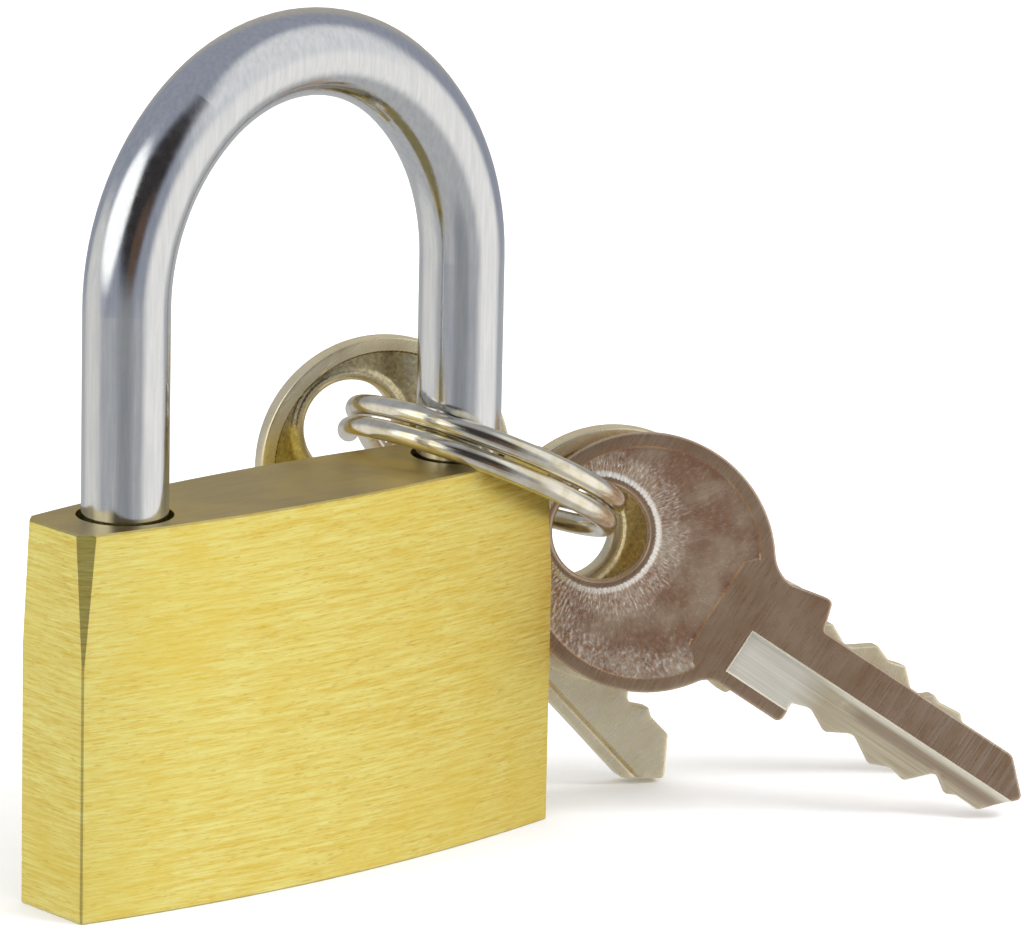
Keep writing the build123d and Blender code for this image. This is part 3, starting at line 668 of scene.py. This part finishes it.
# Split ring ------------------------------------------------------------------------------------------
def swept(name, path, ups, section, domed=0.0):
    """A mesh tube: section points (across, up) carried along a path, with a UV map along and round it."""
    path, ups = np.array(path), np.array(ups)
    ahead = np.gradient(path, axis=0)
    ahead /= np.linalg.norm(ahead, axis=1)[:, None]
    across = np.cross(ahead, ups)
    across /= np.linalg.norm(across, axis=1)[:, None]
    ups = np.cross(across, ahead)
    rows, round_count = len(path), len(section)
    if domed:
        turns = np.radians(np.arange(9, 90, 13))
        way = ahead[[0] * len(turns)] * (domed * np.cos(turns))[:, None]
        last = ahead[[-1] * len(turns)] * (domed * np.cos(turns))[::-1, None]
        path = np.concatenate([path[0] - way, path, path[-1] + last])
        across = np.concatenate([across[[0] * len(turns)], across, across[[-1] * len(turns)]])
        ups = np.concatenate([ups[[0] * len(turns)], ups, ups[[-1] * len(turns)]])
        scales = np.concatenate([np.sin(turns), np.ones(rows), np.sin(turns)[::-1]])
        rows = len(path)
    else:
        scales = np.ones(rows)
    grid = path[:, None] + scales[:, None, None] * (
        across[:, None] * section[None, :, :1] + ups[:, None] * section[None, :, 1:])
    faces = []
    for row in range(rows - 1):
        for k in range(round_count):
            n = (k + 1) % round_count
            faces.append((row * round_count + k, row * round_count + n,
                          (row + 1) * round_count + n, (row + 1) * round_count + k))
    faces.append(tuple(reversed(range(round_count))))
    faces.append(tuple((rows - 1) * round_count + k for k in range(round_count)))
    mesh = bpy.data.meshes.new(name)
    mesh.from_pydata((grid.reshape(-1, 3) * MM).tolist(), [], faces)
    mesh.polygons.foreach_set("use_smooth", [True] * (len(faces) - 2) + [False] * 2)
    run = np.concatenate([[0], np.cumsum(np.linalg.norm(np.diff(path, axis=0), axis=1))])
    layer = mesh.uv_layers.new(name="along")
    for polygon in mesh.polygons:
        for loop in polygon.loop_indices:
            row, k = divmod(mesh.loops[loop].vertex_index, round_count)
            layer.data[loop].uv = (run[row] * MM, k * 0.1 * MM)
    mesh.set_sharp_from_angle(angle=math.radians(50))
    return mesh


def build_ring():
    """Two turns of flattened wire with a short crossover, as in the CAD part."""
    normal = Vector(RING_NORMAL).normalized()
    across = Vector(RING_ACROSS).normalized()
    spun = Matrix.Rotation(math.radians(RING_SPUN), 3, normal)
    x_way, y_way = spun @ across, spun @ normal.cross(across)
    height = RING_WIRE + RING_COIL_GAP / 2
    path = []
    for turn in np.arange(RING_CROSSOVER + RING_END_GAP, 716.01, 1.5):
        share = np.clip((turn - 360) / RING_CROSSOVER, 0, 1)
        rise = -height * math.cos(math.pi * share)
        t = math.radians(turn)
        out = x_way * math.cos(t) + y_way * math.sin(t)
        path.append(tuple(Vector(RING_CENTRE) + out * RING_RADIUS + normal * rise))
    turns = np.linspace(0, 2 * math.pi, 49)[:-1]
    power = 2 / 2.15
    section = np.stack([
        RING_WIRE * np.sign(np.cos(turns)) * np.abs(np.cos(turns)) ** power,
        RING_WIRE * np.sign(np.sin(turns)) * np.abs(np.sin(turns)) ** power,
    ], 1)
    mesh = swept("split_ring_wire", path, [tuple(normal)] * len(path), section, domed=0.25)
    mesh.materials.append(ring_nickel())
    ring = bpy.data.objects.new("split_ring_detailed", mesh)
    bpy.context.scene.collection.objects.link(ring)
    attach(ring, "ring")
    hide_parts("split_ring")


# Finishes of the CAD pieces ----------------------------------------------------------------------------
def paint_cad():
    brass = brushed_brass()
    bright = machined("turned_brass", (0.62, 0.45, 0.12), (0.90, 0.76, 0.36), 0.16, 0.3, (0.3, 0.3, 8.0))
    spring = machined("spring_wire", (0.40, 0.40, 0.42), (0.66, 0.66, 0.68), 0.2, 0.35)
    hard = machined("hardened_steel", (0.46, 0.45, 0.44), (0.70, 0.69, 0.67), 0.22, 0.36, (0.4, 4.0, 4.0))
    plate = chrome()
    slots = {"body_brass": brass, "bright_brass": bright, "shackle_chrome": plate, "spring_steel": spring,
             "hardened_steel": hard}
    for node in nodes.values():
        for slot in node.material_slots:
            key = slot.material.name.split(".")[0]
            if key in slots:
                slot.material = slots[key]


# Room ------------------------------------------------------------------------------------------------
CAMERA_PLACE = (-0.28868, -0.34827, 0.13697)
CAMERA_RIGHT = (0.75264, -0.65809, 0.02102)
CAMERA_UP = (0.13982, 0.19095, 0.97159)
CAMERA_LENS = 249.4


def build_camera():
    camera = bpy.data.objects.new("camera", bpy.data.cameras.new("camera"))
    bpy.context.scene.collection.objects.link(camera)
    right, up = Vector(CAMERA_RIGHT).normalized(), Vector(CAMERA_UP).normalized()
    back = right.cross(up)
    turn = Matrix((right, back.cross(right), back)).transposed().to_4x4()
    camera.matrix_world = Matrix.Translation(CAMERA_PLACE) @ turn
    camera.data.lens = CAMERA_LENS
    camera.data.sensor_width = 36.0
    camera.data.clip_start = 0.01
    bpy.context.scene.camera = camera
    bpy.context.scene.view_settings.view_transform = "Standard"


def build_floor():
    mesh = bpy.data.meshes.new("floor")
    half = 6.0
    corners = [(-half, -half, 0), (half, -half, 0), (half, half, 0), (-half, half, 0)]
    mesh.from_pydata(corners, [], [(0, 1, 2, 3)])
    floor = bpy.data.objects.new("floor", mesh)
    bpy.context.scene.collection.objects.link(floor)
    f = Finish("floor_paper")
    grain = f.noise(f.place(), 0.4, 3.0)
    color = f.mix(f.spread(grain, 0.4, 0.6), (0.955, 0.955, 0.955), (0.965, 0.965, 0.965))
    mesh.materials.append(f.finish(color=color, roughness=0.9, specular=0.0))
    floor.visible_glossy = False


def azimuth(degrees, elevation):
    """A direction from its angle round Z, counterclockwise from +X, and its height above the horizon."""
    a, e = math.radians(degrees), math.radians(elevation)
    return math.cos(a) * math.cos(e), math.sin(a) * math.cos(e), math.sin(e)


# soft panels and dark gaps round the object: direction, full width, faded width, colour
PANELS = (
    (azimuth(-48, -12), 20, 42, (1.03, 1.00, 0.96)),
    (azimuth(-55, 35), 22, 42, (0.85, 0.85, 0.84)),
    (azimuth(130, -12), 16, 38, (0.80, 0.78, 0.74)),
    (azimuth(-131, -16), 6, 26, (0.33, 0.34, 0.35)),
    (azimuth(-133, 26), 20, 38, (0.035, 0.03, 0.03)),
    (azimuth(-122, 6), 5, 16, (0.13, 0.08, 0.055)),
    (azimuth(170, 22), 18, 30, (1.5, 1.5, 1.45)),
    (azimuth(48, 14), 14, 34, (0.46, 0.43, 0.38)),
)


def build_world():
    """Plain light for the floor and camera; soft panels and gaps for what the metal reflects."""
    world = bpy.data.worlds.new("studio")
    bpy.context.scene.world = world
    world.use_nodes = True
    tree = world.node_tree
    tree.nodes.clear()

    def node(kind, inputs, **settings):
        made = tree.nodes.new(kind)
        for key, value in settings.items():
            setattr(made, key, value)
        for socket, value in inputs.items():
            if isinstance(value, bpy.types.NodeSocket):
                tree.links.new(value, made.inputs[socket])
            else:
                made.inputs[socket].default_value = value
        return made

    way = node("ShaderNodeTexCoord", {}).outputs["Generated"]
    height = node("ShaderNodeSeparateXYZ", {0: way}).outputs[2]
    horizon = {0: height, 1: -0.26, 2: -0.12}
    step = node("ShaderNodeMapRange", horizon, interpolation_type="SMOOTHSTEP").outputs[0]
    below, above = (0.52, 0.52, 0.52, 1), (0.34, 0.36, 0.42, 1)
    color = node("ShaderNodeMix", {0: step, 6: below, 7: above}, data_type="RGBA").outputs[2]
    for direction, full, faded, tint in PANELS:
        pair = {0: way, 1: direction}
        facing = node("ShaderNodeVectorMath", pair, operation="DOT_PRODUCT").outputs["Value"]
        limits = {0: facing, 1: math.cos(math.radians(faded)), 2: math.cos(math.radians(full))}
        share = node("ShaderNodeMapRange", limits, interpolation_type="SMOOTHSTEP").outputs[0]
        color = node("ShaderNodeMix", {0: share, 6: color, 7: (*tint, 1)}, data_type="RGBA").outputs[2]
    paths = node("ShaderNodeLightPath", {})
    glossy = node("ShaderNodeMix", {0: paths.outputs["Is Glossy Ray"], 6: (1, 1, 1, 1), 7: color},
                  data_type="RGBA").outputs[2]
    light = node("ShaderNodeBackground", {"Color": glossy, "Strength": 1.0})
    tree.links.new(light.outputs[0], node("ShaderNodeOutputWorld", {}).inputs[0])


def build_lights():
    """A large soft key light from the front right and a fainter one from the left."""
    target = Vector((0.01, 0, 0.03))
    for name, place, size, power in (("key_light", (0.55, -0.75, 0.75), 0.6, 9.0),
                                     ("fill_light", (-0.8, 0.1, 0.6), 0.5, 3.0)):
        lamp = bpy.data.lights.new(name, "AREA")
        lamp.size = size
        lamp.energy = power
        light = bpy.data.objects.new(name, lamp)
        bpy.context.scene.collection.objects.link(light)
        light.location = place
        light.rotation_euler = (target - Vector(place)).to_track_quat("-Z", "Y").to_euler()
        light.visible_glossy = False


paint_cad()
build_ring()
build_keys()
build_camera()
build_floor()
build_world()
build_lights()
